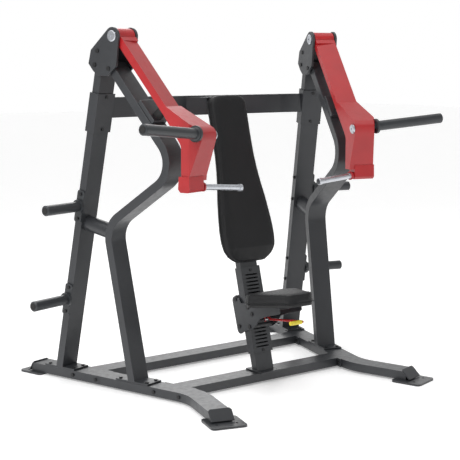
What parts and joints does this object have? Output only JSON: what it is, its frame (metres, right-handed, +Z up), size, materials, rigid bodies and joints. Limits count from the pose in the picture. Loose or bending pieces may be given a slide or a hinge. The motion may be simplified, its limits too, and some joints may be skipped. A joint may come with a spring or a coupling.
{
  "type": "chest press machine",
  "caption": "Plate-loaded chest press with two swinging press arms, padded back, seat sliding on a notched column and weight storage pegs.",
  "frame": {"origin": "centre of the footprint, on the floor", "axes": "+Z up, the user sits facing -Y with the back pad behind, +X to the left hand of the user"},
  "size_m": [1.9996, 1.489, 1.7329],
  "materials": {
    "graphite_paint": "satin graphite powder coat with a fine texture",
    "peg_paint": "satin dark grey powder coat",
    "red_paint": "satin red powder coat",
    "satin_steel": "satin silver",
    "bright_steel": "ground steel",
    "bronze": "sintered bronze",
    "upholstery": "black grained vinyl upholstery",
    "board": "black moulded backing board",
    "rubber": "matt black rubber",
    "nylon": "black nylon",
    "dark_fasteners": "black oxide fasteners",
    "yellow_grip": "yellow moulded grip"
  },
  "bodies": {
    "frame": {"rail_left": "graphite_paint", "rail_right": "graphite_paint", "rail_caps": "graphite_paint", "foot_plates": "graphite_paint", "front_cross_tube": "graphite_paint", "rear_cross_tube": "graphite_paint", "cross_tube_bolts": "dark_fasteners", "upright_left": "graphite_paint", "upright_right": "graphite_paint", "leg_left": "graphite_paint", "leg_right": "graphite_paint", "flange_bolts": "dark_fasteners", "brace_left": "graphite_paint", "brace_right": "graphite_paint", "upper_cross_tube": "graphite_paint", "sleeve_bolts": "dark_fasteners", "pivot_plate_left_outer": "graphite_paint", "pivot_plate_left_inner": "graphite_paint", "pivot_plate_right_outer": "graphite_paint", "pivot_plate_right_inner": "graphite_paint", "plate_bolts": "dark_fasteners", "pivot_shaft_left": "bright_steel", "pivot_shaft_right": "bright_steel", "pivot_caps": "satin_steel", "stop_blocks": "graphite_paint", "stop_bumper_left": "rubber", "stop_bumper_right": "rubber", "peg_upper_left": "peg_paint", "peg_lower_left": "peg_paint", "peg_upper_right": "peg_paint", "peg_lower_right": "peg_paint", "peg_bolts": "dark_fasteners", "centre_post": "graphite_paint", "post_head": "graphite_paint", "rack_channel": "graphite_paint", "rack_bolts": "dark_fasteners", "back_board": "board", "back_pad": "upholstery"},
    "left_arm": {"press_arm_left": "red_paint", "arm_bushings_left": "bronze", "horn_left": "peg_paint", "horn_cap_left": "satin_steel", "grip_left": "satin_steel"},
    "right_arm": {"press_arm_right": "red_paint", "arm_bushings_right": "bronze", "horn_right": "peg_paint", "horn_cap_right": "satin_steel", "grip_right": "satin_steel"},
    "carriage": {"seat_carriage": "graphite_paint", "roller_bolts": "dark_fasteners", "seat_board": "board", "seat_pad": "upholstery", "lever_pin": "dark_fasteners"},
    "lever": {"seat_lever": "red_paint", "lever_grip": "yellow_grip"},
    "latch": {"latch_blade": "bright_steel"},
    "roller_front_upper_body": {"roller_front_upper": "nylon"},
    "roller_front_lower_body": {"roller_front_lower": "nylon"},
    "roller_rear_upper_body": {"roller_rear_upper": "nylon"},
    "roller_rear_lower_body": {"roller_rear_lower": "nylon"}
  },
  "joints": [
    {"name": "left_press_arm_swing", "type": "hinge", "parent": "frame", "child": "left_arm", "pos_m": [-0.62325, 0.09518, 1.692], "axis": [-0.9598, -0.2807, 0], "range_deg": [0, 50]},
    {"name": "right_press_arm_swing", "type": "hinge", "parent": "frame", "child": "right_arm", "pos_m": [0.62325, 0.09518, 1.692], "axis": [-0.9598, 0.2807, 0], "range_deg": [0, 50]},
    {"name": "seat_height_slide", "type": "slide", "parent": "frame", "child": "carriage", "axis": [0, 0.2588, 0.9659], "range_m": [-0.072, 0.126]},
    {"name": "release_lever_tilt", "type": "hinge", "parent": "carriage", "child": "lever", "pos_m": [0, -0.19087, 0.34557], "axis": [-1, 0, 0], "range_deg": [-10, 0], "stiffness_Nm_per_rad": 0.5},
    {"name": "latch_blade_slide", "type": "slide", "parent": "carriage", "child": "latch", "axis": [0, -0.9659, 0.2588], "range_m": [-0.0068, 0]},
    {"name": "roller_front_upper_spin", "type": "hinge", "parent": "carriage", "child": "roller_front_upper_body", "pos_m": [0, -0.15673, 0.37369], "axis": [1, 0, 0], "range_deg": [-700, 700]},
    {"name": "roller_front_lower_spin", "type": "hinge", "parent": "carriage", "child": "roller_front_lower_body", "pos_m": [0, -0.17359, 0.27986], "axis": [1, 0, 0], "range_deg": [-900, 900]},
    {"name": "roller_rear_upper_spin", "type": "hinge", "parent": "carriage", "child": "roller_rear_upper_body", "pos_m": [0, -0.05792, 0.39898], "axis": [1, 0, 0], "range_deg": [-700, 700]},
    {"name": "roller_rear_lower_spin", "type": "hinge", "parent": "carriage", "child": "roller_rear_lower_body", "pos_m": [0, -0.09311, 0.26761], "axis": [1, 0, 0], "range_deg": [-700, 700]}
  ],
  "couplings": [
    {"joint": "latch_blade_slide", "follows": "release_lever_tilt", "m_per_rad": 0.0375},
    {"joint": "roller_front_upper_spin", "follows": "seat_height_slide", "rad_per_m": -50},
    {"joint": "roller_front_lower_spin", "follows": "seat_height_slide", "rad_per_m": -83.333},
    {"joint": "roller_rear_upper_spin", "follows": "seat_height_slide", "rad_per_m": 50},
    {"joint": "roller_rear_lower_spin", "follows": "seat_height_slide", "rad_per_m": 50}
  ]
}
